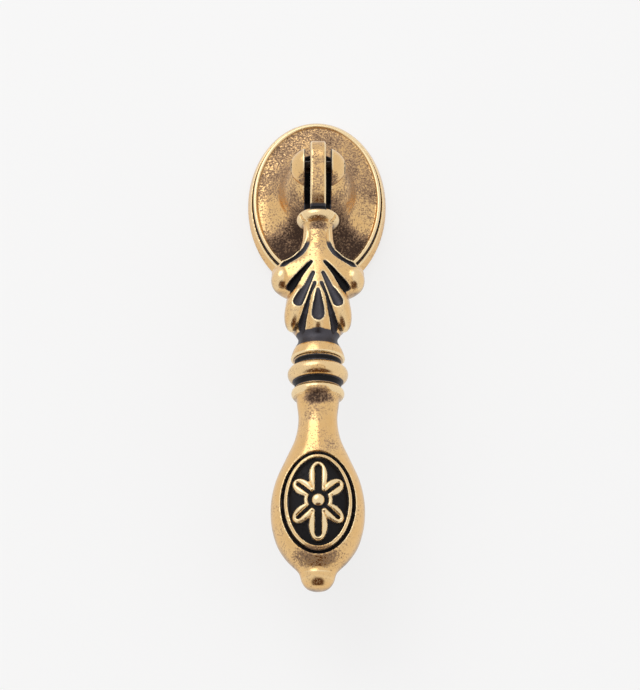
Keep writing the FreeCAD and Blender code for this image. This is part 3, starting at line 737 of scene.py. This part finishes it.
def antiqued_brass():
    """Burnished brass with black in its hollows, a grainy brown bloom on flats, and bright worn edges; the
    black and brown also carry painted shade, and less brown a painted sheen.
    """
    material, tree, shader, place = new_material("antiqued_brass")
    finish_and_light = tree.nodes.new("ShaderNodeAttribute")
    finish_and_light.attribute_name = "finish_and_light"
    channels = tree.nodes.new("ShaderNodeSeparateColor")
    tree.links.new(finish_and_light.outputs["Color"], channels.inputs[0])
    black, brown, bend = channels.outputs
    unpolished = finish_and_light.outputs["Alpha"]
    grain = noise(tree, place, 0.36, 4.0, 0.7)
    cloud = noise(tree, place, 4.0, 3.0)
    fine = noise(tree, place, 0.14, 2.0)
    gold = mix_colours(tree, cloud, *GOLD)
    flecks = math_node(tree, "MULTIPLY", math_node(tree, "SUBTRACT", grain, 0.5), 3.6)
    bloom_and_shade = math_node(tree, "ADD", brown, flecks)
    patchy = math_node(tree, "MULTIPLY", math_node(tree, "SUBTRACT", cloud, 0.5), 1.2)
    bloom_and_shade = math_node(tree, "ADD", bloom_and_shade, patchy)
    bloom_and_shade_share = rising(tree, bloom_and_shade, 0.3, 0.9)
    dark_share = rising(tree, bloom_and_shade, 0.8, 1.6)
    umber = mix_colours(tree, fine, *UMBER)
    metal = mix_colours(tree, bloom_and_shade_share, gold, umber)
    metal = mix_colours(tree, dark_share, metal, DARK_BLOOM_AND_SHADE)
    tarnish = math_node(tree, "MULTIPLY", unpolished, rising(tree, cloud, 0.1, 0.7))
    metal = mix_colours(tree, tarnish, metal, TARNISH)
    worn = rising(tree, bend, 0.56, 0.85)
    metal = mix_colours(tree, worn, metal, WORN_GOLD)
    # Black patina in hollows, and painted shade in the slot, under the leaf and rings and at the foot of the
    # tongue
    uneven_black = math_node(tree, "ADD", black, math_node(tree, "MULTIPLY", grain, 0.25))
    black_share = rising(tree, uneven_black, 0.4, 0.8)
    deep = rising(tree, black, 0.92, 1.0)
    patina_and_shade = mix_colours(tree, deep, GUNMETAL, DEEP_BLACK)
    colour = mix_colours(tree, black_share, metal, patina_and_shade)
    tree.links.new(colour, shader.inputs["Base Color"])
    dulled = math_node(tree, "ADD", math_node(tree, "MULTIPLY", deep, 0.7), 0.3)
    dull_black = math_node(tree, "MULTIPLY", black_share, dulled)
    matt = math_node(tree, "MAXIMUM", dull_black, math_node(tree, "MULTIPLY", bloom_and_shade_share, 0.85))
    tree.links.new(math_node(tree, "SUBTRACT", 1.0, matt), shader.inputs["Metallic"])
    rough = math_node(tree, "MULTIPLY", bloom_and_shade_share, 0.34)
    rough = math_node(tree, "ADD", rough, math_node(tree, "MULTIPLY", black_share, 0.25))
    rough = math_node(tree, "ADD", rough, math_node(tree, "MULTIPLY", cloud, 0.12))
    tree.links.new(math_node(tree, "ADD", rough, 0.17), shader.inputs["Roughness"])
    shader.inputs["Specular IOR Level"].default_value = 0.18
    bump = tree.nodes.new("ShaderNodeBump")
    bump.inputs["Strength"].default_value = 0.25
    bump.inputs["Distance"].default_value = 0.03 * MM
    tree.links.new(grain, bump.inputs["Height"])
    tree.links.new(bump.outputs[0], shader.inputs["Normal"])
    return material


def shaded_pin_brass():
    """Brass coloured dark brown as painted shade for the pin inside the knuckle; its ends are rubbed."""
    material, tree, shader, place = new_material("shaded_pin_brass")
    grain = noise(tree, place, 0.3, 3.0, 0.6)
    colour = mix_colours(tree, rising(tree, grain, 0.35, 0.7), *PIN_SHADE)
    facing = tree.nodes.new("ShaderNodeSeparateXYZ")
    tree.links.new(tree.nodes.new("ShaderNodeTexCoord").outputs["Normal"], facing.inputs[0])
    end = rising(tree, math_node(tree, "ABSOLUTE", facing.outputs[0]), 0.5, 0.8)
    colour = mix_colours(tree, end, colour, PIN_END)
    tree.links.new(colour, shader.inputs["Base Color"])
    shader.inputs["Metallic"].default_value = 1.0
    tree.links.new(math_node(tree, "ADD", grain, -0.1), shader.inputs["Roughness"])
    return material


def white_ground():
    """The white ground behind the pull, open from behind; seen directly it shows a part of its shadow."""
    material = bpy.data.materials.new("white_ground")
    material.use_nodes = True
    tree = material.node_tree
    tree.nodes.clear()
    output = tree.nodes.new("ShaderNodeOutputMaterial")
    paper = tree.nodes.new("ShaderNodeBsdfDiffuse")
    paper.inputs["Color"].default_value = PAPER
    white = tree.nodes.new("ShaderNodeEmission")
    white.inputs["Color"].default_value = SEEN_WHITE
    clear = tree.nodes.new("ShaderNodeBsdfTransparent")
    ray = tree.nodes.new("ShaderNodeLightPath")
    seen = math_node(tree, "ADD", ray.outputs["Is Camera Ray"], ray.outputs["Is Glossy Ray"])
    seen = math_node(tree, "ADD", seen, ray.outputs["Is Transmission Ray"], clamp=True)
    bright = tree.nodes.new("ShaderNodeMixShader")
    tree.links.new(math_node(tree, "MULTIPLY", seen, SEEN_SHARE), bright.inputs[0])
    tree.links.new(paper.outputs[0], bright.inputs[1])
    tree.links.new(white.outputs[0], bright.inputs[2])
    side = tree.nodes.new("ShaderNodeNewGeometry")
    either = tree.nodes.new("ShaderNodeMixShader")
    tree.links.new(side.outputs["Backfacing"], either.inputs[0])
    tree.links.new(bright.outputs[0], either.inputs[1])
    tree.links.new(clear.outputs[0], either.inputs[2])
    tree.links.new(either.outputs[0], output.inputs[0])
    return material


def place_camera():
    """The camera in front of the pull and a little below it."""
    data = bpy.data.cameras.new("camera")
    data.sensor_width = SENSOR
    data.sensor_height = SENSOR
    data.sensor_fit = "AUTO"
    data.lens = FOCAL_PIXELS * SENSOR / IMAGE_HEIGHT
    data.clip_start = 0.01
    camera = bpy.data.objects.new("camera", data)
    level = math.cos(ELEVATION)
    away = Vector((math.sin(AZIMUTH) * level, -math.cos(AZIMUTH) * level, math.sin(ELEVATION)))
    camera.location = AIM + away * DISTANCE
    camera.rotation_euler = (-away).to_track_quat("-Z", "Y").to_euler()
    bpy.context.scene.collection.objects.link(camera)
    bpy.context.scene.camera = camera


def place_ground():
    """The white ground that the rose lies against."""
    sides = ((-1, -1), (1, -1), (1, 1), (-1, 1))
    corners = [(x * GROUND_HALF, GROUND_GAP, z * GROUND_HALF) for x, z in sides]
    mesh = bpy.data.meshes.new("ground")
    mesh.from_pydata(corners, [], [(0, 1, 2, 3)])
    mesh.materials.append(white_ground())
    ground = bpy.data.objects.new("ground", mesh)
    bpy.context.scene.collection.objects.link(ground)


def place_lamp():
    """A soft round lamp that faces the pull."""
    data = bpy.data.lights.new("key", "AREA")
    data.shape = "DISK"
    data.size = LAMP_SIZE
    data.energy = LAMP_POWER
    lamp = bpy.data.objects.new("key", data)
    lamp.location = LAMP_PLACE
    lamp.rotation_euler = (Vector(LAMP_AIM) - Vector(LAMP_PLACE)).to_track_quat("-Z", "Y").to_euler()
    bpy.context.scene.collection.objects.link(lamp)


def light_room():
    """A pale room that is dark low in front."""
    world = bpy.data.worlds.new("room")
    bpy.context.scene.world = world
    world.use_nodes = True
    tree = world.node_tree
    way = tree.nodes.new("ShaderNodeTexCoord").outputs["Generated"]
    towards = tree.nodes.new("ShaderNodeVectorMath")
    towards.operation = "DOT_PRODUCT"
    tree.links.new(way, towards.inputs[0])
    towards.inputs[1].default_value = DARK_SIDE
    share = rising(tree, towards.outputs["Value"], *DARK_EDGE)
    colour = mix_colours(tree, share, ROOM, DARK_ROOM)
    tree.links.new(colour, tree.nodes["Background"].inputs[0])


brass = antiqued_brass()
pendant = build_piece("pendant", pendant_distance, pendant_finish_and_shade, brass)
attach(pendant, "drop")
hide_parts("pendant")
backplate = build_piece("backplate", backplate_distance, backplate_finish_and_light, brass)
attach(backplate, "rose")
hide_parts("backplate")
thread = build_thread(brass)
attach(thread, "rose")
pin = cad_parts["hinge_pin"]
pin.data.materials.clear()
pin.data.materials.append(shaded_pin_brass())

place_camera()
place_ground()
light_room()
place_lamp()
bpy.context.scene.view_settings.view_transform = "Standard"
